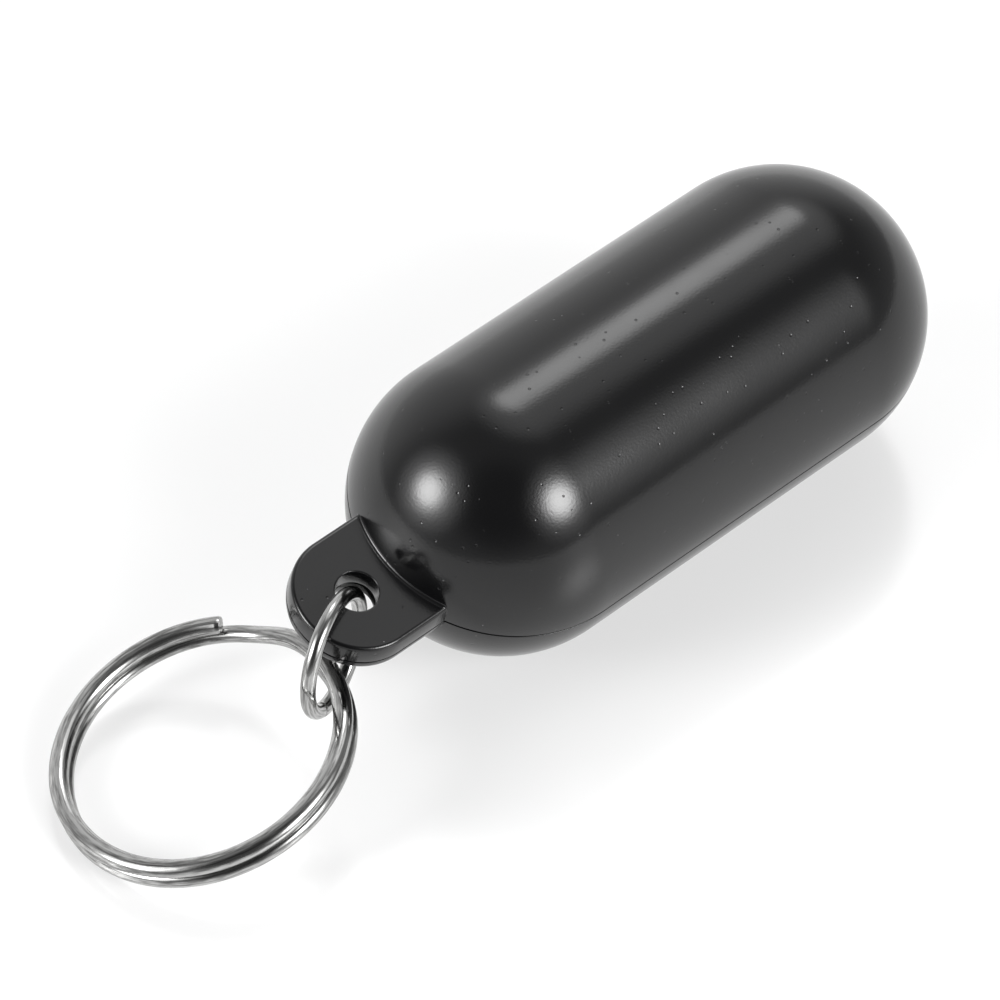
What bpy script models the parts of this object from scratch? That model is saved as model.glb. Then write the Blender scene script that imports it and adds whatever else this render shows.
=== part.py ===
"""Floating keychain: a hollow two-shell float with a flat tab, a round link and a double-coil split ring.

The float lies on its barrel with its length along X. Its tab points to -X, a little rolled, because the
link and the split ring hang from its near side. The split ring leans on the ground at its far end.
Metres, +Z up, with the origin on the ground under the middle of the whole object.
"""

from math import acos, atan, cos, pi, radians, sin, sqrt, tan

import bmesh
import bpy
from mathutils import Matrix, Vector

# Float
BODY_RADIUS = 0.015
BARREL_LENGTH = 0.037
WALL = 0.0018
BODY_ROLL = radians(16.3)
BODY_SIDES = 60
DOME_RINGS = 11
CAVITY_SIDES = 40
CAVITY_RINGS = 7

# Seam between the shells
SEAM_GAP = 0.0002
LIP_THICKNESS = 0.0008
LIP_HEIGHT = 0.0014
LIP_FIT = 0.0002

# Tab
TAB_TOP = 0.0022
TAB_BOTTOM = 0.0012
TAB_HALF_WIDTH = 0.0066
TAB_DRAFT = 0.00015
TAB_OFFSET = -0.00028
TAB_EDGE_ROUND = 0.0004
TAB_EDGE_SIDES = 2
NOSE_REACH = 0.0063
NOSE_SIDES = 32
HOLE_RADIUS = 0.00213
HOLE_SIDES = 36
HOLE_RIM_BREAK = 0.0001
HOLE_REACH = 0.0042
TAB_ROOT_DEPTH = 0.0035

# Link
LINK_RADIUS = 0.00585
LINK_WIRE = 0.0015
LINK_YAW = radians(24.0)
LINK_LEAD = 0.00032
LINK_SEAT_GAP = 0.0002
LINK_SLIT = 0.00016
LINK_SLIT_ANGLE = radians(305.0)
LINK_STEPS = 56
LINK_WIRE_SIDES = 14

# Split ring
RING_OUTER_RADIUS = 0.015
RING_WIRE_WIDTH = 0.00185
RING_WIRE_HEIGHT = 0.00145
RING_WIRE_CORNER = 0.0005
RING_CORNER_SIDES = 3
COIL_GAP = 0.0001
RING_YAW = radians(17.7)
RING_BANK = radians(2.9)
RING_LEAD = 0.0003
RING_SEAT_GAP = 0.00035
FIRST_END = radians(58.7)
STEP_DOWN_START = radians(376.5)
STEP_DOWN_END = radians(410.5)
LAST_END = radians(734.5)
COIL_STEP = radians(5.0)
STEEPEST_PITCH = radians(60.0)
PITCH_HALVINGS = 40

# Finish
SHARP_ANGLE = radians(32.0)
WELD_DISTANCE = 0.000001
BLACK = (0.013, 0.013, 0.014)
BLACK_ROUGHNESS = 0.16
STEEL = (0.62, 0.61, 0.59)
STEEL_ROUGHNESS = 0.18

# Worked out from the sizes above
HOLE_X = -(BARREL_LENGTH / 2 + BODY_RADIUS + HOLE_REACH)
COIL_RADIUS = RING_OUTER_RADIUS - RING_WIRE_WIDTH / 2
COIL_PITCH = RING_WIRE_HEIGHT + COIL_GAP
CUTTER_SPAN = 4 * (BARREL_LENGTH + BODY_RADIUS)


def clear_scene():
    """Remove every object that the scene starts with."""
    for obj in list(bpy.data.objects):
        bpy.data.objects.remove(obj, do_unlink=True)


def plain_material(name, colour, roughness, metallic):
    """A Principled material with the piece's colour and finish."""
    material = bpy.data.materials.new(name)
    material.use_nodes = True
    shader = material.node_tree.nodes["Principled BSDF"]
    shader.inputs["Base Color"].default_value = (*colour, 1.0)
    shader.inputs["Roughness"].default_value = roughness
    shader.inputs["Metallic"].default_value = metallic
    return material


def object_from(name, mesh_builder):
    """Link a new object whose mesh is what mesh_builder leaves in an empty bmesh."""
    mesh = bpy.data.meshes.new(name)
    shape = bmesh.new()
    mesh_builder(shape)
    bmesh.ops.recalc_face_normals(shape, faces=shape.faces)
    shape.to_mesh(mesh)
    shape.free()
    obj = bpy.data.objects.new(name, mesh)
    bpy.context.scene.collection.objects.link(obj)
    return obj


def frame_empty(name, matrix, parent=None):
    """An empty that carries a piece's own axes."""
    empty = bpy.data.objects.new(name, None)
    empty.empty_display_size = BODY_RADIUS / 2
    bpy.context.scene.collection.objects.link(empty)
    empty.parent = parent
    empty.matrix_local = matrix
    return empty


def combine(target, operation, tool):
    """Apply one exact Boolean of tool to target, and remove the tool."""
    modifier = target.modifiers.new(operation.lower(), "BOOLEAN")
    modifier.operation = operation
    modifier.solver = "EXACT"
    modifier.object = tool
    graph = bpy.context.evaluated_depsgraph_get()
    result = bpy.data.meshes.new_from_object(target.evaluated_get(graph))
    target.modifiers.remove(modifier)
    target.data = result
    bpy.data.objects.remove(tool, do_unlink=True)


def finish(obj, material, parent):
    """Give a finished piece its material, smooth shading and place."""
    obj.data.materials.clear()
    obj.data.materials.append(material)
    obj.data.shade_smooth()
    obj.data.set_sharp_from_angle(angle=SHARP_ANGLE)
    obj.parent = parent


def arc_points(centre, radius, start, end, steps):
    """Points of a flat arc, both ends included."""
    angles = [start + (end - start) * i / steps for i in range(steps + 1)]
    return [Vector((centre[0] + radius * cos(a), centre[1] + radius * sin(a), 0)) for a in angles]


def turned(name, outline, centre, axis, sides):
    """A closed body turned about an axis from an outline whose two ends are on that axis."""

    def build(shape):
        points = [shape.verts.new(point) for point in outline]
        edges = [shape.edges.new(pair) for pair in zip(points, points[1:])]
        bmesh.ops.spin(
            shape,
            geom=points + edges,
            cent=centre,
            axis=axis,
            angle=2 * pi,
            steps=sides,
            use_merge=True,
        )
        bmesh.ops.remove_doubles(shape, verts=shape.verts, dist=WELD_DISTANCE)

    return object_from(name, build)


def capsule(name, radius, sides, dome_rings):
    """A closed round-ended barrel along X."""
    half_barrel = BARREL_LENGTH / 2
    far_dome = arc_points((half_barrel, 0), radius, 0, pi / 2, dome_rings)
    near_dome = arc_points((-half_barrel, 0), radius, pi / 2, pi, dome_rings)
    return turned(name, far_dome + near_dome, (0, 0, 0), (1, 0, 0), sides)


def slab(name, low, high):
    """A block wider than the whole object between two heights."""

    def build(shape):
        bmesh.ops.create_cube(shape, size=1)
        bmesh.ops.scale(shape, vec=(CUTTER_SPAN, CUTTER_SPAN, high - low), verts=shape.verts)
        bmesh.ops.translate(shape, vec=(0, 0, (low + high) / 2), verts=shape.verts)

    return object_from(name, build)


def hole_cutter(name):
    """The round hole through both halves of the tab, with its rims broken at the two flat faces."""
    wide = HOLE_RADIUS + 2 * HOLE_RIM_BREAK
    below = TAB_BOTTOM + HOLE_RIM_BREAK
    above = TAB_TOP + HOLE_RIM_BREAK
    reaches = ((0, -below), (wide, -below), (HOLE_RADIUS, HOLE_RIM_BREAK - TAB_BOTTOM))
    reaches += ((HOLE_RADIUS, TAB_TOP - HOLE_RIM_BREAK), (wide, above), (0, above))
    outline = [Vector((HOLE_X + reach, TAB_OFFSET, height)) for reach, height in reaches]
    return turned(name, outline, (HOLE_X, TAB_OFFSET, 0), (0, 0, 1), HOLE_SIDES)


def tab_outline(height, inset):
    """The tab's outline at a height, drawn in by inset: a nose round the hole and straight sides into the dome."""
    reach = NOSE_REACH - inset
    half_width = TAB_HALF_WIDTH - inset
    root_x = HOLE_X + HOLE_REACH + TAB_ROOT_DEPTH
    turns = [pi / 2 + pi * i / NOSE_SIDES for i in range(NOSE_SIDES + 1)]
    outline = [Vector((HOLE_X + reach * cos(turn), TAB_OFFSET + half_width * sin(turn), height)) for turn in turns]
    outline.append(Vector((root_x, TAB_OFFSET - half_width, height)))
    outline.append(Vector((root_x, TAB_OFFSET + half_width, height)))
    return outline


def half_tab(name, inner, outer):
    """One layer of the tab from the seam to its flat outer face, with draft and with that face's edge rounded."""

    def build(shape):
        sweep(shape, (tab_outline(inner, 0), tab_outline(outer, TAB_DRAFT)))
        shape.verts.ensure_lookup_table()
        face_height = shape.verts[-1].co.z
        edges = [edge for edge in shape.edges if all(vertex.co.z == face_height for vertex in edge.verts)]
        bmesh.ops.bevel(
            shape,
            geom=edges,
            offset=TAB_EDGE_ROUND,
            segments=TAB_EDGE_SIDES,
            profile=0.5,
            affect="EDGES",
        )

    return object_from(name, build)


def half_shell(name, side):
    """A half of the float, side +1 above the seam and -1 below, with its layer of the tab, still solid."""
    shell = capsule(name, BODY_RADIUS, BODY_SIDES, DOME_RINGS)
    near, far = sorted((side * SEAM_GAP / 2, side * CUTTER_SPAN))
    combine(shell, "INTERSECT", slab("half_space", near, far))
    face = TAB_TOP if side > 0 else -TAB_BOTTOM
    combine(shell, "UNION", half_tab("tab_layer", side * SEAM_GAP / 2, face))
    return shell


def seam_band(name, thickness, top):
    """A solid slice of the barrel along the seam, out to the given thickness over the cavity."""
    band = capsule(name, BODY_RADIUS - WALL + thickness, CAVITY_SIDES, CAVITY_RINGS)
    combine(band, "INTERSECT", slab("band_heights", -LIP_HEIGHT, top))
    return band


def hollow_out(shell):
    """Cut the air space and the tab's hole."""
    combine(shell, "DIFFERENCE", capsule("cavity", BODY_RADIUS - WALL, CAVITY_SIDES, CAVITY_RINGS))
    combine(shell, "DIFFERENCE", hole_cutter("hole"))


def upper_shell(material, parent):
    """The upper shell, with a rebate round its rim for the lower shell's lip."""
    shell = half_shell("upper_shell", 1)
    hollow_out(shell)
    combine(shell, "DIFFERENCE", seam_band("rebate", LIP_THICKNESS + LIP_FIT, LIP_HEIGHT + LIP_FIT))
    finish(shell, material, parent)


def lower_shell(material, parent):
    """The lower shell, with a lip round its rim that centres the upper one."""
    shell = half_shell("lower_shell", -1)
    combine(shell, "UNION", seam_band("lip", LIP_THICKNESS, LIP_HEIGHT))
    hollow_out(shell)
    finish(shell, material, parent)


def sweep(shape, stations):
    """Skin a row of section loops, and cap both ends."""
    loops = [[shape.verts.new(point) for point in station] for station in stations]
    count = len(loops[0])
    for before, after in zip(loops, loops[1:]):
        for i in range(count):
            j = (i + 1) % count
            shape.faces.new((before[i], before[j], after[j], after[i]))
    shape.faces.new(list(reversed(loops[0])))
    shape.faces.new(loops[-1])


def round_link(material, parent, centre):
    """The link: round wire bent to a circle in its frame's XZ plane, with a fine butt joint."""
    slit_half = LINK_SLIT / 2 / LINK_RADIUS

    def build(shape):
        stations = []
        for step in range(LINK_STEPS + 1):
            angle = LINK_SLIT_ANGLE + slit_half + (2 * pi - 2 * slit_half) * step / LINK_STEPS
            outward = Vector((cos(angle), 0, sin(angle)))
            station = []
            for side in range(LINK_WIRE_SIDES):
                turn = 2 * pi * side / LINK_WIRE_SIDES
                reach = LINK_RADIUS + LINK_WIRE / 2 * cos(turn)
                station.append(centre + outward * reach + Vector((0, LINK_WIRE / 2 * sin(turn), 0)))
            stations.append(station)
        sweep(shape, stations)

    link = object_from("link", build)
    finish(link, material, parent)


def wire_section():
    """The split ring's flattened wire: (radial, axial) points of a rectangle with round corners."""
    points = []
    for quarter in range(4):
        start = quarter * pi / 2
        across = RING_WIRE_WIDTH / 2 - RING_WIRE_CORNER
        along = RING_WIRE_HEIGHT / 2 - RING_WIRE_CORNER
        corner = (across * (1 if quarter in (0, 3) else -1), along * (1 if quarter in (0, 1) else -1))
        for point in arc_points(corner, RING_WIRE_CORNER, start, start + pi / 2, RING_CORNER_SIDES):
            points.append((point.x, point.y))
    return points


def coil_blend(angle):
    """0 on the upper turn, 1 on the lower turn, and even in between along the step down."""
    share = (angle - STEP_DOWN_START) / (STEP_DOWN_END - STEP_DOWN_START)
    return min(1.0, max(0.0, share))


def split_ring(material, parent):
    """Nearly two turns of flattened wire, stepping from the upper turn to the lower one between its ends."""
    centre = Vector((COIL_RADIUS, 0, 0))
    section = wire_section()
    steps = max(2, round((LAST_END - FIRST_END) / COIL_STEP))

    def build(shape):
        stations = []
        for step in range(steps + 1):
            angle = FIRST_END + (LAST_END - FIRST_END) * step / steps
            outward = Vector((-cos(angle), -sin(angle), 0))
            middle = centre + outward * COIL_RADIUS
            middle.z = COIL_PITCH * (0.5 - coil_blend(angle))
            station = [middle + outward * across + Vector((0, 0, along)) for across, along in section]
            stations.append(station)
        sweep(shape, stations)

    ring = object_from("split_ring", build)
    finish(ring, material, parent)


def link_places():
    """The middle of the web that the link turns on, the link's centre and its outward direction."""
    slope = atan(tan(BODY_ROLL) * sin(LINK_YAW))
    web_middle = (HOLE_RADIUS + NOSE_REACH) / 2
    web_half_width = (NOSE_REACH - HOLE_RADIUS) / 2
    outward = Vector((-cos(LINK_YAW), -sin(LINK_YAW), 0))
    down_tab = outward * cos(slope) + Vector((0, 0, -sin(slope)))
    hole = Vector((HOLE_X, TAB_OFFSET * cos(BODY_ROLL), BODY_RADIUS + TAB_OFFSET * sin(BODY_ROLL)))
    web = hole + down_tab * web_middle
    rim_back = web_half_width * cos(slope) - TAB_TOP * sin(slope)
    rim_rise = web_half_width * sin(slope) + TAB_TOP * cos(slope)
    reach = LINK_RADIUS - LINK_WIRE / 2 - LINK_SEAT_GAP
    drop = sqrt(reach ** 2 - (rim_back + LINK_LEAD) ** 2) - rim_rise
    centre = web + outward * LINK_LEAD - Vector((0, 0, drop))
    return web, centre, outward


def link_frame():
    """The link's frame on its pivot: X outward from the float, Y along the pivot's axis."""
    pivot, centre, outward = link_places()
    upward = Vector((0, 0, 1))
    axes = Matrix((outward, upward.cross(outward), upward)).transposed().to_4x4()
    frame = Matrix.Translation(pivot) @ axes
    return frame, frame.inverted() @ centre


def lowest_of_ring(grip_height, pitch):
    """Height of the leaning split ring's lowest point, for a given pitch."""
    lean = acos(cos(pitch) * cos(RING_BANK))
    across = RING_WIRE_WIDTH / 2 - RING_WIRE_CORNER
    along = (COIL_PITCH + RING_WIRE_HEIGHT) / 2 - RING_WIRE_CORNER
    thickness_reach = across * sin(lean) + along * cos(lean) + RING_WIRE_CORNER
    return grip_height - COIL_RADIUS * sin(pitch) - COIL_RADIUS * sin(lean) - thickness_reach


def ring_pitch(grip_height):
    """The pitch at which the split ring's far end comes down to the ground."""
    low = 0.0
    high = STEEPEST_PITCH
    for _ in range(PITCH_HALVINGS):
        middle = (low + high) / 2
        if lowest_of_ring(grip_height, middle) > 0:
            low = middle
        else:
            high = middle
    return low


def ring_frame():
    """The split ring's frame where its wire passes the link: X to the ring's centre, Z its normal."""
    _, centre, outward = link_places()
    coil_half_height = (COIL_PITCH + RING_WIRE_HEIGHT) / 2
    drop = LINK_RADIUS - LINK_WIRE / 2 - RING_SEAT_GAP - coil_half_height
    grip = centre + outward * RING_LEAD - Vector((0, 0, drop))
    pitch = ring_pitch(grip.z)
    turned = Matrix.Rotation(pi - RING_YAW, 4, "Z")
    pitched = Matrix.Rotation(pitch, 4, "Y")
    banked = Matrix.Rotation(RING_BANK, 4, "X")
    return Matrix.Translation(grip) @ turned @ pitched @ banked


def centre_on_origin(root):
    """Move the whole object so that the middle of its underside is at the origin."""
    bpy.context.view_layer.update()
    corners = []
    for obj in bpy.data.objects:
        if obj.type == "MESH":
            corners += [obj.matrix_world @ vertex.co for vertex in obj.data.vertices]
    lowest = [min(point[axis] for point in corners) for axis in range(3)]
    highest = [max(point[axis] for point in corners) for axis in range(3)]
    root.location = (-(lowest[0] + highest[0]) / 2, -(lowest[1] + highest[1]) / 2, -lowest[2])


def build_keychain():
    """Make the four pieces in their frames."""
    clear_scene()
    black = plain_material("black_plastic", BLACK, BLACK_ROUGHNESS, 0.0)
    steel = plain_material("bright_steel", STEEL, STEEL_ROUGHNESS, 1.0)
    root = frame_empty("keychain_frame", Matrix.Identity(4))
    float_axes = Matrix.Translation((0, 0, BODY_RADIUS)) @ Matrix.Rotation(BODY_ROLL, 4, "X")
    float_frame = frame_empty("float_frame", float_axes, root)
    upper_shell(black, float_frame)
    lower_shell(black, float_frame)
    link_axes, link_centre = link_frame()
    link_pivot = frame_empty("link_pivot", link_axes, root)
    round_link(steel, link_pivot, link_centre)
    ring_pivot = frame_empty("ring_pivot", ring_frame(), root)
    split_ring(steel, ring_pivot)
    centre_on_origin(root)


build_keychain()
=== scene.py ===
"""Looks of a floating keychain: a glossy black float, a round wire link and a double-coil split ring.

The float is two moulded shells with a flat tab. The link is loose in the tab's hole, and the split ring
is loose on the link. Everything is in metres, +Z up, with the keychain lying on a pale studio floor.
"""

from __future__ import annotations

import logging
import math
from dataclasses import dataclass
from enum import Enum
from typing import Any, Optional, Sequence

import bmesh
import bpy
from mathutils import Matrix, Vector

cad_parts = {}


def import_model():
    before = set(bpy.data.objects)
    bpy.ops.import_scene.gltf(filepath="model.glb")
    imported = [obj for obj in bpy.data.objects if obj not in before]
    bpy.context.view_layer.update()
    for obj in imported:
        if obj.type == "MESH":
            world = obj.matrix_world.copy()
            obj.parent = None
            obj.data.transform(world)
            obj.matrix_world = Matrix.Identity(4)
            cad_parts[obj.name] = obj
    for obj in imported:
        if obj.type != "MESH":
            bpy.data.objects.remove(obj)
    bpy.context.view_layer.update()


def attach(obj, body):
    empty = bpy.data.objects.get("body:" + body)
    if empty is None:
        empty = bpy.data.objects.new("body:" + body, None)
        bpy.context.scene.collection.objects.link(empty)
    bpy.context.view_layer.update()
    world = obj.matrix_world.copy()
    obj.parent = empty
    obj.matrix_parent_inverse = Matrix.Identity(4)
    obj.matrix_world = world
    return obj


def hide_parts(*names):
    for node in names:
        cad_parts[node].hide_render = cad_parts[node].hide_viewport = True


LOG = logging.getLogger("keychain")
MATHS = "ShaderNodeMath"
BUMP = "ShaderNodeBump"
NOISE = "ShaderNodeTexNoise"
RANGE = "ShaderNodeMapRange"
WHITE = (1, 1, 1, 1)
WIRE_CREASE = math.radians(50)


def linear(hex_colour: str) -> tuple[float, float, float, float]:
    """Turn an sRGB hex colour into the linear values that a shader takes.

    Args:
        hex_colour: Six hex digits after a hash sign.

    Returns:
        Red, green, blue and full alpha.
    """
    shares = [int(hex_colour[i : i + 2], 16) / 255 for i in (1, 3, 5)]
    red, green, blue = [c / 12.92 if c <= 0.04045 else ((c + 0.055) / 1.055) ** 2.4 for c in shares]
    return red, green, blue, 1.0


def put(
    tree: bpy.types.NodeTree,
    kind: str,
    feeds: Sequence[Any] | dict[Any, Any] = (),
    out: Any = 0,
    **settings: Any,
) -> Any:
    """Add one node to a tree, with its settings and what goes into it.

    Args:
        tree: A shader tree or a geometry tree.
        kind: The node's type.
        feeds: Constants or output sockets, in order or by the input's name or place.
        out: The output to give back, by name or place, or None for the node itself.
        **settings: The node's own properties.

    Returns:
        The output socket, or the node.
    """
    node = tree.nodes.new(kind)
    for name, value in settings.items():
        setattr(node, name, value)
    pairs = feeds.items() if isinstance(feeds, dict) else enumerate(feeds)
    for key, value in pairs:
        if isinstance(value, bpy.types.NodeSocket):
            tree.links.new(value, node.inputs[key])
        else:
            node.inputs[key].default_value = value
    return node if out is None or not node.outputs else node.outputs[out]


def empty_tree(owner: bpy.types.Material | bpy.types.World) -> bpy.types.NodeTree:
    """Switch on the node tree of a material or a world, and empty it.

    Args:
        owner: The material or the world.

    Returns:
        Its tree, with no nodes.
    """
    owner.use_nodes = True
    owner.node_tree.nodes.clear()
    return owner.node_tree


class Kind(Enum):
    """The kinds of input that a shape's rule takes. Lengths, angles and shares are all numbers."""

    NUMBER = "NodeSocketFloat"
    COUNT = "NodeSocketInt"
    FINISH = "NodeSocketMaterial"


@dataclass
class ShapeRule:
    """A Geometry Nodes tree that makes one piece from named sizes."""

    name: str
    inputs: dict[str, tuple[Kind, Any]]

    def __post_init__(self) -> None:
        """Make the empty tree with its named inputs."""
        self.tree = bpy.data.node_groups.new(self.name, "GeometryNodeTree")
        self.tree.interface.new_socket("Geometry", in_out="OUTPUT", socket_type="NodeSocketGeometry")
        for label, (kind, _) in self.inputs.items():
            self.tree.interface.new_socket(label, in_out="INPUT", socket_type=kind.value)
        self.given = put(self.tree, "NodeGroupInput", out=None).outputs

    def close(self, shape: bpy.types.NodeSocket) -> None:
        """End the tree in realised, dressed geometry.

        Args:
            shape: The geometry that the rule has made.
        """
        real = put(self.tree, "GeometryNodeRealizeInstances", (shape,))
        smooth = put(self.tree, "GeometryNodeSetShadeSmooth", (real,))
        finish = self.given["Finish"]
        dressed = put(self.tree, "GeometryNodeSetMaterial", {"Geometry": smooth, "Material": finish})
        put(self.tree, "NodeGroupOutput", (dressed,))

    def grow(self, name: str) -> bpy.types.Object:
        """Run the rule and keep its result as a plain mesh.

        Args:
            name: The finished object's name.

        Returns:
            An object at the origin with the piece in its mesh.
        """
        seed = bpy.data.objects.new(name + "_rule", bpy.data.meshes.new(name + "_rule"))
        bpy.context.scene.collection.objects.link(seed)
        modifier = seed.modifiers.new("rule", "NODES")
        modifier.node_group = self.tree
        for item in self.tree.interface.items_tree:
            if item.in_out == "INPUT":
                modifier[item.identifier] = self.inputs[item.name][1]
        grown = bpy.data.meshes.new_from_object(seed.evaluated_get(bpy.context.evaluated_depsgraph_get()))
        bpy.data.objects.remove(seed, do_unlink=True)
        grown.name = name
        piece = bpy.data.objects.new(name, grown)
        bpy.context.scene.collection.objects.link(piece)
        return piece


@dataclass(frozen=True)
class Place:
    """Where a piece's own axes are in the room."""

    origin: tuple[float, float, float]
    x_axis: tuple[float, float, float]
    z_axis: tuple[float, float, float]

    def matrix(self) -> Matrix:
        """Work out the matrix from the piece's axes to the room.

        Returns:
            The matrix, with the axes made unit long.
        """
        x, z = Vector(self.x_axis).normalized(), Vector(self.z_axis).normalized()
        y = z.cross(x).normalized()
        return Matrix.Translation(self.origin) @ Matrix((x, y, z)).transposed().to_4x4()


def settle(
    piece: bpy.types.Object,
    place: Optional[Place] = None,
    sharp: Optional[float] = None,
    flats_stay_flat: bool = False,
) -> bpy.types.Object:
    """Bring a mesh to its place in the room, facing outwards, with its shading set.

    Args:
        piece: The object, at the origin.
        place: Where its axes are in the room, or None to leave it.
        sharp: The angle in radians past which an edge is sharp, or None for none.
        flats_stay_flat: Whether large flat faces keep their own normal up to their rounded edges.

    Returns:
        The same object.
    """
    shape = bmesh.new()
    shape.from_mesh(piece.data)
    bmesh.ops.recalc_face_normals(shape, faces=shape.faces)
    shape.to_mesh(piece.data)
    shape.free()
    if place is not None:
        piece.data.transform(place.matrix())
    piece.data.shade_smooth()
    if sharp is not None:
        piece.data.set_sharp_from_angle(angle=sharp)
    if flats_stay_flat:
        evened = piece.modifiers.new("even_normals", "WEIGHTED_NORMAL")
        evened.keep_sharp = True
        evened.weight = 100
        graph = bpy.context.evaluated_depsgraph_get()
        finished = bpy.data.meshes.new_from_object(piece.evaluated_get(graph))
        piece.modifiers.remove(evened)
        piece.data = finished
    return piece


@dataclass(frozen=True)
class GlossyAbs:
    """Black ABS, moulded in a polished tool: deep black, a clear gloss, faint orange peel, a few pits."""

    colour: str = "#0e0e0f"
    dust_colour: str = "#6f6f70"
    ior: float = 1.5
    # The roughness of the best polished places and of those that hands have dulled.
    most_gloss: float = 0.145
    least_gloss: float = 0.19
    handling_width_mm: float = 9.0
    handled_from: float = 0.35
    handled_to: float = 0.7
    peel_width_mm: float = 1.6
    peel_height_mm: float = 0.0014
    peel_unevenness: float = 0.66
    # Real mould grain is finer than this: it is drawn as coarse as it needs to show in a highlight.
    grain_width_mm: float = 0.24
    grain_height_mm: float = 0.0065
    pit_spacing_mm: float = 1.05
    pit_radius_mm: float = 0.15
    pit_depth_mm: float = 0.02
    cells_without_pit: float = 0.6
    dust_spacing_mm: float = 1.9
    dust_radius_mm: float = 0.08
    cells_without_dust: float = 0.72

    def material(self) -> bpy.types.Material:
        """Make the shader.

        Returns:
            The material.
        """
        finish = bpy.data.materials.new("abs_polished_black")
        tree = empty_tree(finish)
        spot = put(tree, "ShaderNodeTexCoord", out="Object")
        handled = put(tree, NOISE, {"Vector": spot, "Scale": 1000 / self.handling_width_mm, "Detail": 4.0})
        gloss = put(
            tree,
            RANGE,
            {0: handled, 1: self.handled_from, 2: self.handled_to, 3: self.most_gloss, 4: self.least_gloss},
        )
        pits = self.specks(tree, spot, self.pit_spacing_mm, self.pit_radius_mm, self.cells_without_pit)
        dust = self.specks(tree, spot, self.dust_spacing_mm, self.dust_radius_mm, self.cells_without_dust)
        peel = put(
            tree,
            NOISE,
            {
                "Vector": spot,
                "Scale": 1000 / self.peel_width_mm,
                "Detail": 5.0,
                "Roughness": self.peel_unevenness,
            },
        )
        waves = put(tree, BUMP, {"Strength": 1.0, "Distance": self.peel_height_mm / 1000, "Height": peel})
        grain = put(tree, NOISE, {"Vector": spot, "Scale": 1000 / self.grain_width_mm, "Detail": 2.0})
        grained = put(
            tree,
            BUMP,
            {"Strength": 1.0, "Distance": self.grain_height_mm / 1000, "Height": grain, "Normal": waves},
        )
        dents = put(
            tree,
            BUMP,
            {"Strength": 1.0, "Distance": self.pit_depth_mm / 1000, "Height": pits, "Normal": grained},
            invert=True,
        )
        tone = put(
            tree,
            "ShaderNodeMix",
            {0: dust, 6: linear(self.colour), 7: linear(self.dust_colour)},
            out=2,
            data_type="RGBA",
        )
        shader = put(
            tree,
            "ShaderNodeBsdfPrincipled",
            {"Base Color": tone, "Roughness": gloss, "IOR": self.ior, "Normal": dents},
        )
        put(tree, "ShaderNodeOutputMaterial", (shader,))
        return finish

    def specks(
        self,
        tree: bpy.types.NodeTree,
        spot: bpy.types.NodeSocket,
        spacing_mm: float,
        radius_mm: float,
        sparse: float,
    ) -> bpy.types.NodeSocket:
        """Round specks at random places.

        Args:
            tree: The shader tree.
            spot: The place on the piece.
            spacing_mm: How far apart the cells are that may hold one.
            radius_mm: A speck's radius.
            sparse: The share of cells that hold none.

        Returns:
            1 on a speck and 0 elsewhere.
        """
        cells = put(tree, "ShaderNodeTexVoronoi", {"Vector": spot, "Scale": 1000 / spacing_mm}, out=None)
        edge = radius_mm / spacing_mm
        near = put(tree, RANGE, {0: cells.outputs["Distance"], 1: edge, 2: edge / 2, 3: 0.0, 4: 1.0})
        draw = put(tree, "ShaderNodeSeparateColor", (cells.outputs["Color"],))
        kept = put(tree, MATHS, (draw, sparse), operation="GREATER_THAN")
        return put(tree, MATHS, (near, kept), operation="MULTIPLY")


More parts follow.
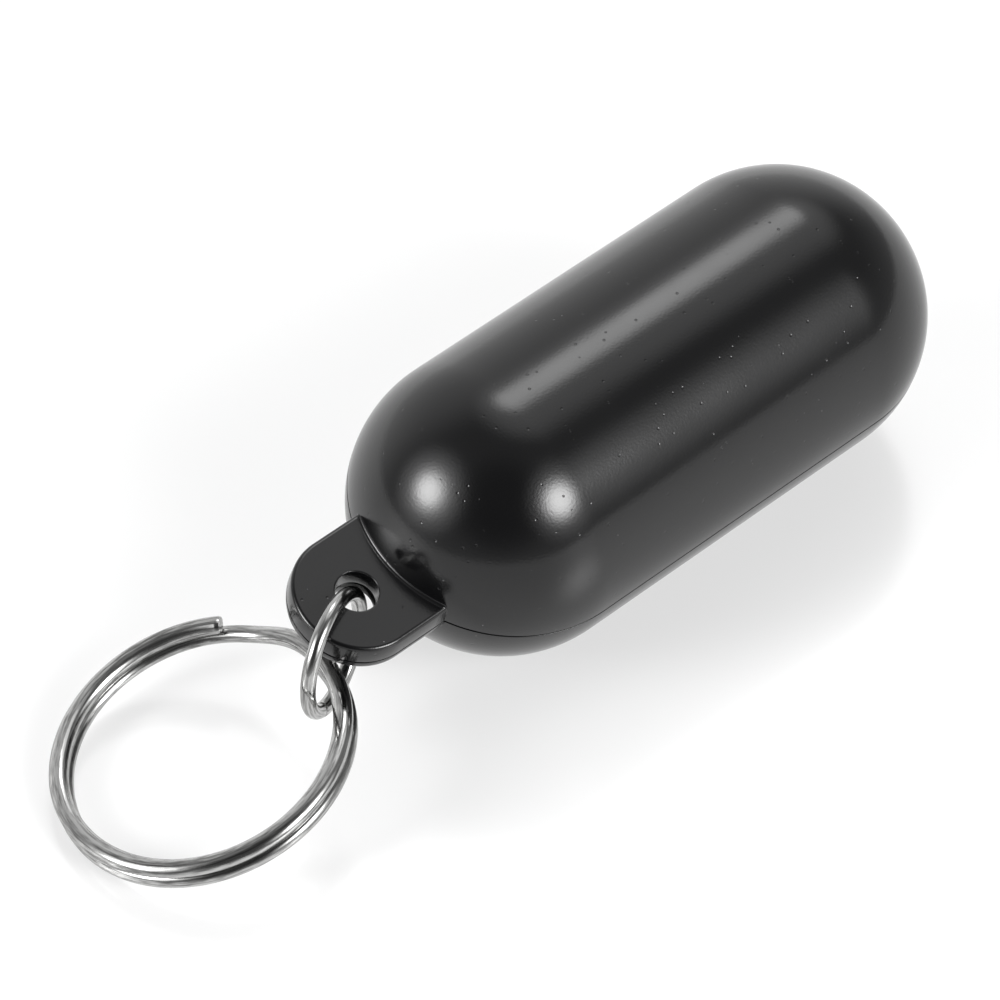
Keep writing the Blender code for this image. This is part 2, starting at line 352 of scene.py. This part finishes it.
@dataclass(frozen=True)
class NickelWire:
    """Drawn steel wire under bright nickel: mirror bands along the wire, fine die lines, small scuffs."""

    name: str = "nickel_bright_wire"
    bright: str = "#c0c0bf"
    dull: str = "#747473"
    roughness: float = 0.12
    least_shine: float = 0.22
    line_width_mm: float = 0.26
    line_length_mm: float = 11.0
    line_height_mm: float = 0.014
    scratch_width_mm: float = 0.17
    scratch_length_mm: float = 1.6
    scratch_height_mm: float = 0.006
    # Where the marks begin and end to dull the tone, and the scratches alone to dull the shine.
    tone_from: float = 0.86
    tone_to: float = 1.24
    shine_from: float = 0.45
    shine_to: float = 0.7

    def material(self) -> bpy.types.Material:
        """Make the shader.

        Returns:
            The material.
        """
        finish = bpy.data.materials.new(self.name)
        tree = empty_tree(finish)
        lines = self.along_wire(tree, self.line_width_mm, self.line_length_mm)
        scratches = self.along_wire(tree, self.scratch_width_mm, self.scratch_length_mm)
        marks = put(tree, MATHS, (lines, scratches), operation="ADD")
        worn = put(tree, RANGE, {0: marks, 1: self.tone_from, 2: self.tone_to})
        gloss = put(
            tree,
            RANGE,
            {0: scratches, 1: self.shine_from, 2: self.shine_to, 3: self.roughness, 4: self.least_shine},
        )
        tone = put(
            tree,
            "ShaderNodeMix",
            {0: worn, 6: linear(self.bright), 7: linear(self.dull)},
            out=2,
            data_type="RGBA",
        )
        drawn = put(tree, BUMP, {"Strength": 1.0, "Distance": self.line_height_mm / 1000, "Height": lines})
        depth = self.scratch_height_mm / 1000
        marked = put(tree, BUMP, {"Strength": 1.0, "Distance": depth, "Height": scratches, "Normal": drawn})
        shader = put(
            tree,
            "ShaderNodeBsdfPrincipled",
            {"Base Color": tone, "Metallic": 1.0, "Roughness": gloss, "Normal": marked},
        )
        put(tree, "ShaderNodeOutputMaterial", (shader,))
        return finish

    def along_wire(self, tree: bpy.types.NodeTree, width_mm: float, length_mm: float) -> bpy.types.NodeSocket:
        """Marks that run along the wire.

        Args:
            tree: The shader tree.
            width_mm: A mark's width.
            length_mm: A mark's length.

        Returns:
            Their height, from 0 to 1.
        """
        across = put(tree, "ShaderNodeAttribute", out="Vector", attribute_name="across_wire")
        along = put(tree, "ShaderNodeAttribute", out="Fac", attribute_name="along_wire")
        stretched = put(tree, MATHS, (along, width_mm / length_mm), operation="MULTIPLY")
        lifted = put(tree, "ShaderNodeCombineXYZ", {2: stretched})
        on_wire = put(tree, "ShaderNodeVectorMath", (across, lifted), operation="ADD")
        return put(tree, NOISE, {"Vector": on_wire, "Scale": 1000 / width_mm, "Detail": 3.0})


class Half(Enum):
    """The two shells of the float."""

    UPPER = 1
    LOWER = -1


@dataclass
class Float:
    """The hollow float: two shells that meet at a fine seam, each with its layer of the tab."""

    finish: bpy.types.Material
    place: Place = Place((0.018158, -0.000952, 0.014993), (1, 0, 0), (0, -0.280667, 0.959805))
    radius: float = 0.015
    barrel: float = 0.037
    seam_gap: float = 0.0002
    seam_round: float = 0.00005
    lip_inset: float = 0.0006
    lip_clear: float = 0.00002
    rows: int = 220
    columns: int = 150
    crowding: float = 0.93
    weld_within: float = 0.000001
    tab_top: float = 0.0022
    tab_bottom: float = 0.0012
    tab_half_width: float = 0.0066
    tab_offset: float = -0.00028
    tab_draft: float = 0.00015
    tab_edge_round: float = 0.0004
    tab_fillet: float = 0.00036
    side_fillet: float = 0.0002
    nose_reach: float = 0.0063
    hole_reach: float = 0.0042
    hole_radius: float = 0.00213
    hole_round: float = 0.00012
    root_depth: float = 0.0035
    spokes: int = 216
    seam_steps: int = 3
    edge_steps: int = 8
    bore_steps: int = 5
    fillet_steps: int = 8
    fillet_stops: int = 30
    fillet_overlap: float = 0.04
    fillet_bury: float = 0.6

    def __post_init__(self) -> None:
        """Work out where the near dome's middle and the hole are, and make the skin's rule."""
        self.dome_x = -self.barrel / 2
        self.hole = Vector((self.dome_x - self.radius - self.hole_reach, self.tab_offset, 0))
        self.skin_rule = self.make_skin_rule()

    def build(self) -> list[bpy.types.Object]:
        """Make both shells.

        Returns:
            The upper shell and the lower shell.
        """
        return [self.shell(half) for half in Half]

    def make_skin_rule(self) -> ShapeRule:
        """The rule for half of a round-ended barrel, with its rim rounded over at the seam.

        Returns:
            The rule, ready to grow.
        """
        rule = ShapeRule(
            "round_ended_half_barrel",
            {
                "Radius": (Kind.NUMBER, self.radius),
                "Barrel Length": (Kind.NUMBER, self.barrel),
                "Seam Round": (Kind.NUMBER, self.seam_round),
                "Crowding": (Kind.NUMBER, self.crowding),
                "Rows": (Kind.COUNT, self.rows),
                "Columns": (Kind.COUNT, self.columns),
                "Finish": (Kind.FINISH, self.finish),
            },
        )
        tree, given = rule.tree, rule.given
        radius, seam = given["Radius"], given["Seam Round"]
        grid = put(tree, "GeometryNodeMeshGrid", (1.0, 1.0, given["Rows"], given["Columns"]))
        point = put(tree, "GeometryNodeInputPosition")
        place = put(tree, "ShaderNodeSeparateXYZ", (point,), out=None).outputs
        # Columns crowd towards the seam, where the rim turns over in a twentieth of a millimetre.
        turn = put(tree, MATHS, (place[1], 0.5), operation="ADD")
        round_turn = put(tree, MATHS, (turn, math.tau), operation="MULTIPLY")
        wave = put(tree, MATHS, (round_turn,), operation="SINE")
        crowded = put(tree, MATHS, (wave, given["Crowding"]), operation="MULTIPLY")
        eased = put(tree, MATHS, (crowded, math.tau), operation="DIVIDE")
        share_of_half = put(tree, MATHS, (turn, eased), operation="SUBTRACT")
        angle = put(tree, MATHS, (share_of_half, math.pi), operation="MULTIPLY")
        # Rows run along the outline: near dome, barrel, far dome.
        half_barrel = put(tree, MATHS, (given["Barrel Length"], 0.5), operation="MULTIPLY")
        back = put(tree, MATHS, (half_barrel, -1.0), operation="MULTIPLY")
        quarter = put(tree, MATHS, (radius, math.pi / 2), operation="MULTIPLY")
        reach = put(tree, MATHS, (half_barrel, quarter), operation="ADD")
        doubled = put(tree, MATHS, (place[0], 2.0), operation="MULTIPLY")
        along = put(tree, MATHS, (doubled, reach), operation="MULTIPLY")
        capped = put(tree, MATHS, (along, half_barrel), operation="MINIMUM")
        spine = put(tree, MATHS, (capped, back), operation="MAXIMUM")
        past = put(tree, MATHS, (along, spine), operation="SUBTRACT")
        tilt = put(tree, MATHS, (past, radius), operation="DIVIDE")
        forward = put(tree, MATHS, (tilt,), operation="SINE")
        lead = put(tree, MATHS, (forward, radius), operation="MULTIPLY")
        outward = put(tree, MATHS, (tilt,), operation="COSINE")
        girth = put(tree, MATHS, (outward, radius), operation="MULTIPLY")
        sideways = put(tree, MATHS, (angle,), operation="COSINE")
        side = put(tree, MATHS, (sideways, girth), operation="MULTIPLY")
        upward = put(tree, MATHS, (angle,), operation="SINE")
        height = put(tree, MATHS, (upward, girth), operation="MULTIPLY")
        # Below the seam round, the skin turns in by the round's own arc.
        below = put(tree, MATHS, (seam, height), operation="SUBTRACT")
        short = put(tree, MATHS, (below, 0.0), operation="MAXIMUM")
        seam_square = put(tree, MATHS, (seam, seam), operation="MULTIPLY")
        short_square = put(tree, MATHS, (short, short), operation="MULTIPLY")
        rest_square = put(tree, MATHS, (seam_square, short_square), operation="SUBTRACT")
        rest = put(tree, MATHS, (rest_square,), operation="SQRT")
        inset = put(tree, MATHS, (seam, rest), operation="SUBTRACT")
        flat = put(tree, "ShaderNodeCombineXYZ", (lead, side))
        spread = put(tree, "ShaderNodeVectorMath", (flat,), out="Value", operation="LENGTH")
        drawn_in = put(tree, MATHS, (inset, spread), operation="DIVIDE")
        share = put(tree, MATHS, (drawn_in, -1.0), operation="MULTIPLY")
        kept = put(tree, MATHS, (share, 1.0), operation="ADD")
        drawn = put(tree, "ShaderNodeVectorMath", {0: flat, 3: kept}, operation="SCALE")
        raised = put(tree, "ShaderNodeCombineXYZ", (spine, 0.0, height))
        final = put(tree, "ShaderNodeVectorMath", (drawn, raised), operation="ADD")
        moved = put(tree, "GeometryNodeSetPosition", {"Geometry": grid, "Position": final})
        welded = put(tree, "GeometryNodeMergeByDistance", {"Geometry": moved, "Distance": self.weld_within})
        rule.close(welded)
        return rule

    def shell(self, half: Half) -> bpy.types.Object:
        """Make one shell, with its layer of the tab and the small fillet where they meet.

        Args:
            half: Which shell.

        Returns:
            The finished piece, riding on the float.
        """
        piece = self.skin_rule.grow(f"float_{half.name.lower()}_shell")
        top = self.tab_top if half is Half.UPPER else self.tab_bottom
        shape = bmesh.new()
        shape.from_mesh(piece.data)
        rim = [edge for edge in shape.edges if edge.is_boundary]
        plate = bmesh.ops.holes_fill(shape, edges=rim, sides=0)["faces"]
        # Each half gives up its share of the seam, so that the float keeps its round size.
        bmesh.ops.scale(shape, vec=(1, 1, 1 - self.seam_gap / 2 / self.radius), verts=shape.verts)
        if half is Half.LOWER:
            self.add_lip(shape, plate)
        bmesh.ops.translate(shape, vec=(0, 0, self.seam_gap / 2), verts=shape.verts)
        self.add_tab(shape, top)
        self.add_fillet(shape, top)
        if half is Half.LOWER:
            bmesh.ops.scale(shape, vec=(1, 1, -1), verts=shape.verts)
        for face in shape.faces:
            face.material_index = 0
        shape.to_mesh(piece.data)
        shape.free()
        piece.data.materials.clear()
        piece.data.materials.append(self.finish)
        return settle(piece, self.place, flats_stay_flat=True)

    def add_lip(self, shape: bmesh.types.BMesh, plate: Sequence[bmesh.types.BMFace]) -> None:
        """Raise the lower shell's lip, which crosses the seam inside the walls and keeps the light out.

        Args:
            shape: The shell's mesh in the making.
            plate: The faces that close it at the seam.
        """
        for inset in (self.lip_inset, self.seam_round):
            bmesh.ops.inset_region(shape, faces=plate, thickness=inset)
        raised = list({vert for face in plate for vert in face.verts})
        bmesh.ops.translate(shape, vec=(0, 0, self.lip_clear - self.seam_gap), verts=raised)

    def outline(self) -> list[tuple[Vector, Vector]]:
        """The tab's plan outline, seen from the hole.

        Returns:
            Points, each with the direction that an inset goes against.
        """
        root = self.root_depth + self.hole_reach
        points = []
        for step in range(self.spokes):
            turn = math.tau * (step + 0.5) / self.spokes
            across, along = math.cos(turn), math.sin(turn)
            if across < 0:
                reach = 1 / math.hypot(across / self.nose_reach, along / self.tab_half_width)
                away = Vector((across / self.nose_reach**2, along / self.tab_half_width**2, 0)).normalized()
            else:
                reach = min(root / across, self.tab_half_width / max(abs(along), 1e-6))
                away = Vector((0, reach * along / self.tab_half_width, 0))
            points.append((self.hole + Vector((across, along, 0)) * reach, away))
        return points

    def wall(self, top: float) -> list[tuple[float, float]]:
        """The tab's side from the seam to its face, as insets and heights.

        Args:
            top: The face's height over the seam.

        Returns:
            Pairs of how far in and how high.
        """
        low = round_over(self.seam_round, self.seam_gap / 2, self.seam_steps, rising=False)
        high = round_over(self.tab_edge_round, top, self.edge_steps, rising=True)
        return [(inset + self.tab_draft * height / top, height) for inset, height in low + high]

    def add_tab(self, shape: bmesh.types.BMesh, top: float) -> None:
        """Add one layer of the tab: rounded edges, a rounded hole and two flat faces.

        Args:
            shape: The shell's mesh in the making.
            top: The layer's face's height over the seam.
        """
        wall = self.wall(top)
        support = self.tab_edge_round / 10
        wall.append((wall[-1][0] + support, top))
        bore = round_over(self.hole_round, top, self.bore_steps, rising=True)[::-1]
        bore.insert(0, (self.hole_round + support, top))
        bore += round_over(self.seam_round, self.seam_gap / 2, self.seam_steps, rising=False)[::-1]
        rows = []
        for inset, z in wall:
            up = Vector((0, 0, z))
            rows.append([shape.verts.new(point - away * inset + up) for point, away in self.outline()])
        for widen, z in bore:
            reach = self.hole_radius + widen
            row = []
            for step in range(self.spokes):
                turn = math.tau * (step + 0.5) / self.spokes
                spoke = Vector((reach * math.cos(turn), reach * math.sin(turn), z))
                row.append(shape.verts.new(self.hole + spoke))
            rows.append(row)
        skin(shape, rows + rows[:1])

    def add_fillet(self, shape: bmesh.types.BMesh, top: float) -> None:
        """Add the small fillet between the tab's layer and the near dome, rolled by a ball.

        Args:
            shape: The shell's mesh in the making.
            top: The layer's face's height over the seam.
        """
        dome = Vector((self.dome_x, 0, 0))
        rows = []
        for middle, away, roll in self.fillet_path(top):
            inward = (dome - middle).normalized()
            start = -away
            row = []
            for step in range(self.fillet_steps + 1):
                share = (1 + 2 * self.fillet_overlap) * step / self.fillet_steps - self.fillet_overlap
                row.append(middle + start.slerp(inward, share) * roll)
            corner = (start + inward).normalized()
            row.append(middle + corner * roll * (1 + away.angle(-inward) * self.fillet_bury))
            rows.append([shape.verts.new(point) for point in row])
        skin(shape, rows)
        shape.faces.new(rows[0])
        shape.faces.new(list(reversed(rows[-1])))

    def fillet_path(self, top: float) -> list[tuple[Vector, Vector, float]]:
        """Where the rolling ball goes, from the seam over the tab's face to the seam again.

        Args:
            top: The layer's face's height over the seam.

        Returns:
            Each place of the ball's middle, the direction away from the tab's surface there, and its radius.
        """
        stops = []
        wall = self.wall(top)[self.seam_steps :]
        for step, (inset, height) in enumerate(wall):
            lift = max(0.0, math.pi / 2 * (step - 1) / (len(wall) - 2))
            away = Vector((0, math.cos(lift), math.sin(lift)))
            roll = self.side_fillet + (self.tab_fillet - self.side_fillet) * math.sin(lift) ** 2
            stops.append((self.tab_half_width - inset, height, away, roll))
        edge = stops[-1][0]
        shares = [step / self.fillet_stops for step in range(1, self.fillet_stops)]
        face = [(edge * (1 - 2 * share), top, Vector((0, 0, 1)), self.tab_fillet) for share in shares]
        far = [(-y, z, Vector((0, -away.y, away.z)), roll) for y, z, away, roll in reversed(stops)]
        path = []
        for y, z, away, roll in stops + face + far:
            middle = Vector((0, y + self.tab_offset, z)) + away * roll
            reach = self.radius + roll
            middle.x = self.dome_x - math.sqrt(reach**2 - middle.y**2 - middle.z**2)
            path.append((middle, away, roll))
        return path


def round_over(radius: float, height: float, steps: int, rising: bool) -> list[tuple[float, float]]:
    """A quarter round between a wall and a flat face, as insets and heights.

    Args:
        radius: The round's radius.
        height: The flat face's height.
        steps: How many faces it has.
        rising: True from the wall up to the face, False from the face up to the wall.

    Returns:
        Pairs of how far in and how high.
    """
    pairs = []
    for step in range(steps + 1):
        turn = math.pi / 2 * step / steps
        if rising:
            pairs.append((radius * (1 - math.cos(turn)), height - radius * (1 - math.sin(turn))))
        else:
            pairs.append((radius * (1 - math.sin(turn)), height + radius * (1 - math.cos(turn))))
    return pairs


def skin(shape: bmesh.types.BMesh, rows: Sequence[Sequence[bmesh.types.BMVert]]) -> None:
    """Join each closed row of points to the next with four-sided faces.

    Args:
        shape: The mesh in the making.
        rows: The rows, all of the same length.
    """
    for low, high in zip(rows, rows[1:]):
        for i, _ in enumerate(low):
            j = (i + 1) % len(low)
            shape.faces.new((low[i], low[j], high[j], high[i]))


@dataclass
class Link:
    """The link: 1.5 mm wire bent to a circle, its two cut ends meeting in a butt joint."""

    finish: bpy.types.Material
    place: Place = Place((-0.023366, -0.002923, 0.014417), (-0.91355, -0.40674, 0), (0, 0, 1))
    centre: tuple[float, float] = (0.00032, -0.0019817)
    radius: float = 0.00585
    wire: float = 0.0015
    slit: float = 0.00016
    slit_angle: float = math.radians(305)
    steps: int = 220
    sides: int = 32
    end_chamfer: float = 0.9

    def build(self) -> bpy.types.Object:
        """Make the link.

        Returns:
            The finished piece, riding on its own body.
        """
        half_slit = self.slit / 2 / self.radius
        rule = ShapeRule(
            "wire_bent_to_a_circle",
            {
                "Link Radius": (Kind.NUMBER, self.radius),
                "Wire Radius": (Kind.NUMBER, self.wire / 2),
                "First End": (Kind.NUMBER, self.slit_angle + half_slit),
                "Turn": (Kind.NUMBER, math.tau - 2 * half_slit),
                "End Size": (Kind.NUMBER, self.end_chamfer),
                "Steps": (Kind.COUNT, self.steps),
                "Sides": (Kind.COUNT, self.sides),
                "Finish": (Kind.FINISH, self.finish),
            },
        )
        tree, given = rule.tree, rule.given
        path = put(
            tree,
            "GeometryNodeCurveArc",
            {
                "Resolution": given["Steps"],
                "Radius": given["Link Radius"],
                "Start Angle": given["First End"],
                "Sweep Angle": given["Turn"],
            },
        )
        section = put(
            tree,
            "GeometryNodeCurvePrimitiveCircle",
            {"Resolution": given["Sides"], "Radius": given["Wire Radius"]},
        )
        rule.close(sweep_wire(tree, path, section, given["End Size"]))
        piece = rule.grow("round_wire_link")
        centre = Matrix.Translation((self.centre[0], 0, self.centre[1]))
        piece.data.transform(centre @ Matrix.Rotation(math.pi / 2, 4, "X"))
        return settle(piece, self.place, sharp=WIRE_CREASE)


@dataclass
class SplitRing:
    """The split ring: flattened wire in two turns, stepping from the upper turn to the lower one."""

    finish: bpy.types.Material
    place: Place = Place(
        (-0.023932, -0.003175, 0.009185), (-0.91774, 0.29289, -0.26828), (-0.23987, 0.12966, 0.96211)
    )
    outer_radius: float = 0.015
    wire_width: float = 0.00185
    wire_height: float = 0.00145
    wire_corner: float = 0.0005
    coil_gap: float = 0.0001
    first_end: float = math.radians(58.7)
    step_start: float = math.radians(376.5)
    step_end: float = math.radians(410.5)
    last_end: float = math.radians(734.5)
    steps: int = 680
    end_chamfer: float = 0.88

    def build(self) -> bpy.types.Object:
        """Make the split ring.

        Returns:
            The finished piece, riding on its own body.
        """
        rule = ShapeRule(
            "flattened_wire_in_two_turns",
            {
                "Coil Radius": (Kind.NUMBER, self.outer_radius - self.wire_width / 2),
                "Coil Pitch": (Kind.NUMBER, self.wire_height + self.coil_gap),
                "First End": (Kind.NUMBER, self.first_end),
                "Last End": (Kind.NUMBER, self.last_end),
                "Step Start": (Kind.NUMBER, self.step_start),
                "Step End": (Kind.NUMBER, self.step_end),
                "Wire Width": (Kind.NUMBER, self.wire_width),
                "Wire Height": (Kind.NUMBER, self.wire_height),
                "Wire Corner": (Kind.NUMBER, self.wire_corner),
                "End Size": (Kind.NUMBER, self.end_chamfer),
                "Steps": (Kind.COUNT, self.steps),
                "Finish": (Kind.FINISH, self.finish),
            },
        )
        tree, given = rule.tree, rule.given
        line = put(tree, "GeometryNodeMeshLine", {"Count": given["Steps"]})
        last = put(tree, MATHS, (given["Steps"], 1.0), operation="SUBTRACT")
        share = put(tree, MATHS, (put(tree, "GeometryNodeInputIndex"), last), operation="DIVIDE")
        angle = put(tree, RANGE, {0: share, 3: given["First End"], 4: given["Last End"]})
        stepped = put(
            tree,
            RANGE,
            {0: angle, 1: given["Step Start"], 2: given["Step End"]},
            interpolation_type="SMOOTHSTEP",
        )
        outward = put(tree, MATHS, (given["Coil Radius"], -1.0), operation="MULTIPLY")
        x = put(tree, MATHS, (put(tree, MATHS, (angle,), operation="COSINE"), outward), operation="MULTIPLY")
        y = put(tree, MATHS, (put(tree, MATHS, (angle,), operation="SINE"), outward), operation="MULTIPLY")
        x_middle = put(tree, MATHS, (x, given["Coil Radius"]), operation="ADD")
        level = put(tree, MATHS, (0.5, stepped), operation="SUBTRACT")
        height = put(tree, MATHS, (level, given["Coil Pitch"]), operation="MULTIPLY")
        spot = put(tree, "ShaderNodeCombineXYZ", (x_middle, y, height))
        coiled = put(tree, "GeometryNodeSetPosition", {"Geometry": line, "Position": spot})
        path = put(tree, "GeometryNodeMeshToCurve", {"Mesh": coiled})
        section = put(
            tree,
            "GeometryNodeCurvePrimitiveQuadrilateral",
            {"Width": given["Wire Width"], "Height": given["Wire Height"]},
        )
        eased = put(
            tree,
            "GeometryNodeFilletCurve",
            {"Curve": section, "Radius": given["Wire Corner"]},
        )
        rule.close(sweep_wire(tree, path, eased, given["End Size"]))
        piece = rule.grow("key_split_ring")
        return settle(piece, self.place, sharp=WIRE_CREASE)


def sweep_wire(
    tree: bpy.types.NodeTree,
    path: bpy.types.NodeSocket,
    section: bpy.types.NodeSocket,
    end_size: bpy.types.NodeSocket,
) -> bpy.types.NodeSocket:
    """Run a wire's section along its path, with chamfered ends and its own places stored for the finish.

    Args:
        tree: The geometry tree.
        path: The wire's middle line.
        section: The wire's outline across.
        end_size: How large the cut ends are, as a share of the wire.

    Returns:
        The wire's geometry.
    """
    length = put(tree, "GeometryNodeSplineParameter", out="Length")
    marked_path = put(
        tree,
        "GeometryNodeStoreNamedAttribute",
        {"Geometry": path, "Name": "along_wire", "Value": length},
        domain="POINT",
        data_type="FLOAT",
    )
    marked_section = put(
        tree,
        "GeometryNodeStoreNamedAttribute",
        {"Geometry": section, "Name": "across_wire", "Value": put(tree, "GeometryNodeInputPosition")},
        domain="POINT",
        data_type="FLOAT_VECTOR",
    )
    ends = put(tree, "GeometryNodeCurveEndpointSelection", (1, 1))
    size = put(tree, RANGE, {0: ends, 3: 1.0, 4: end_size})
    return put(
        tree,
        "GeometryNodeCurveToMesh",
        {"Curve": marked_path, "Profile Curve": marked_section, "Scale": size, "Fill Caps": True},
    )


@dataclass(frozen=True)
class Patch:
    """A soft round patch of the room: its direction and size in degrees, and its strength in the middle."""

    azimuth: float
    height: float
    core: float
    edge: float
    strength: float


@dataclass
class Studio:
    """A pale floor, a plain room with three soft lights, and the camera of the photograph."""

    floor_colour: str = "#b4b4b4"
    floor_radius: float = 3.0
    floor_sides: int = 96
    floor_gloss: float = 0.22
    floor_lift: float = 0.5
    horizon: float = 0.42
    overhead: float = 0.22
    fill: float = 0.1
    # The near light and the left light each have a bright middle, a body and a faint skirt. The back light
    # has a middle and a skirt. The last two are a pale wall in front and one behind.
    lights: tuple[Patch, ...] = (
        Patch(-78, 32, 0, 13.5, 9.4),
        Patch(-78, 32, 0, 19.5, 6.5),
        Patch(-76, 31, 0, 33, 1.1),
        Patch(159, 30, 0, 13, 10.4),
        Patch(159, 30, 0, 20, 5.2),
        Patch(159, 30, 0, 34, 1.6),
        Patch(38, 53.5, 0, 12.5, 3.9),
        Patch(25, 58, 0, 32, 0.9),
        Patch(-60, 27, 0, 26, 0.12),
        Patch(70, 8, 10, 70, 0.6),
    )
    # The room is darker behind the camera.
    dark_side: Patch = Patch(-131, 42, 8, 46, 0.7)
    camera_place: tuple[float, float, float] = (-0.246916, -0.269589, 0.406095)
    camera_target: tuple[float, float, float] = (-0.000416, -0.000889, 0.014995)
    lens: float = 200.3
    sensor: float = 36.0
    nearest: float = 0.02

    def build(self) -> None:
        """Make the floor, the room with its lights, and the camera."""
        self.floor()
        self.world()
        self.camera()
        view = bpy.context.scene.view_settings
        view.view_transform = "Standard"

    def floor(self) -> None:
        """A wide level floor of satin board that is seen as near white, with the keychain's shadow."""
        mesh = bpy.data.meshes.new("studio_floor")
        shape = bmesh.new()
        bmesh.ops.create_circle(shape, cap_ends=True, segments=self.floor_sides, radius=self.floor_radius)
        shape.to_mesh(mesh)
        shape.free()
        floor = bpy.data.objects.new("studio_floor", mesh)
        bpy.context.scene.collection.objects.link(floor)
        finish = bpy.data.materials.new("satin_floor_board")
        tree = empty_tree(finish)
        paint = put(
            tree,
            "ShaderNodeBsdfPrincipled",
            {"Base Color": linear(self.floor_colour), "Roughness": self.floor_gloss},
        )
        glow = put(tree, "ShaderNodeEmission", {"Color": WHITE, "Strength": self.floor_lift})
        seen = self.seen_straight(tree)
        lifted = put(tree, "ShaderNodeAddShader", (paint, glow))
        shader = put(tree, "ShaderNodeMixShader", (seen, paint, lifted))
        put(tree, "ShaderNodeOutputMaterial", (shader,))
        mesh.materials.append(finish)

    def seen_straight(self, tree: bpy.types.NodeTree) -> bpy.types.NodeSocket:
        """Where the camera, a mirror-like metal or glass sees a surface.

        Args:
            tree: The shader tree.

        Returns:
            1 for such rays and 0 for the rest.
        """
        rays = put(tree, "ShaderNodeLightPath", out=None).outputs
        pair = put(tree, MATHS, (rays["Is Camera Ray"], rays["Is Glossy Ray"]), operation="MAXIMUM")
        return put(tree, MATHS, (pair, rays["Is Transmission Ray"]), operation="MAXIMUM")

    def world(self) -> None:
        """A plain grey room, darker overhead and behind the camera, with three soft lights."""
        room = bpy.data.worlds.new("studio_room")
        tree = empty_tree(room)
        look = put(tree, "ShaderNodeTexCoord", out="Generated")
        height = put(tree, "ShaderNodeSeparateXYZ", (look,), out="Z")
        tone = put(tree, RANGE, {0: height, 1: 0.0, 2: 0.5, 3: self.horizon, 4: self.overhead})
        shade = self.glow(tree, look, self.dark_side)
        unshaded = put(tree, MATHS, (1.0, shade), operation="SUBTRACT")
        dimmed = put(tree, MATHS, (tone, unshaded), operation="MULTIPLY")
        backdrop = put(tree, "ShaderNodeBackground", {"Color": WHITE, "Strength": dimmed})
        fill = put(tree, "ShaderNodeBackground", {"Color": WHITE, "Strength": self.fill})
        shader = put(tree, "ShaderNodeMixShader", (self.seen_straight(tree), fill, backdrop))
        for light in self.lights:
            strength = self.glow(tree, look, light)
            soft = put(tree, "ShaderNodeBackground", {"Color": WHITE, "Strength": strength})
            shader = put(tree, "ShaderNodeAddShader", (shader, soft))
        put(tree, "ShaderNodeOutputWorld", (shader,))
        bpy.context.scene.world = room

    def glow(
        self, tree: bpy.types.NodeTree, look: bpy.types.NodeSocket, patch: Patch
    ) -> bpy.types.NodeSocket:
        """How strong a soft round patch of the room is in a direction.

        Args:
            tree: The world's tree.
            look: The direction.
            patch: The patch.

        Returns:
            Its strength, from full in its middle to 0 past its edge.
        """
        turn, lift = math.radians(patch.azimuth), math.radians(patch.height)
        towards = Vector((math.cos(turn) * math.cos(lift), math.sin(turn) * math.cos(lift), math.sin(lift)))
        near = put(tree, "ShaderNodeVectorMath", (look, towards), out="Value", operation="DOT_PRODUCT")
        outer, inner = math.cos(math.radians(patch.edge)), math.cos(math.radians(patch.core))
        return put(
            tree,
            RANGE,
            {0: near, 1: outer, 2: inner, 4: patch.strength},
            interpolation_type="SMOOTHERSTEP",
        )

    def camera(self) -> None:
        """The photograph's viewpoint: a long lens from above, on the tab's side."""
        view = bpy.data.cameras.new("photo_camera")
        view.lens = self.lens
        view.sensor_width = self.sensor
        view.clip_start = self.nearest
        camera = bpy.data.objects.new("photo_camera", view)
        camera.location = self.camera_place
        sight = Vector(self.camera_target) - Vector(self.camera_place)
        camera.rotation_euler = sight.to_track_quat("-Z", "Y").to_euler()
        bpy.context.scene.collection.objects.link(camera)
        bpy.context.scene.camera = camera


def main() -> None:
    """Load the frame, dress each piece and set the studio."""
    logging.basicConfig(level=logging.INFO, format="%(name)s: %(message)s")
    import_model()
    black = GlossyAbs().material()
    steel = NickelWire().material()
    for piece, node in zip(Float(black).build(), ("upper_shell", "lower_shell")):
        report(piece, node, "float")
    report(Link(steel).build(), "link", "link")
    report(SplitRing(steel).build(), "split_ring", "ring")
    Studio().build()


def report(piece: bpy.types.Object, node: str, body: str) -> None:
    """Put a finished piece on its body in place of its plain solid, and say so.

    Args:
        piece: The finished piece.
        node: The solid that it stands for.
        body: The body that it moves with.
    """
    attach(piece, body)
    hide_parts(node)
    LOG.info("%s: %d faces, in place of %s on %s", piece.name, len(piece.data.polygons), node, body)


if __name__ == "__main__":
    main()
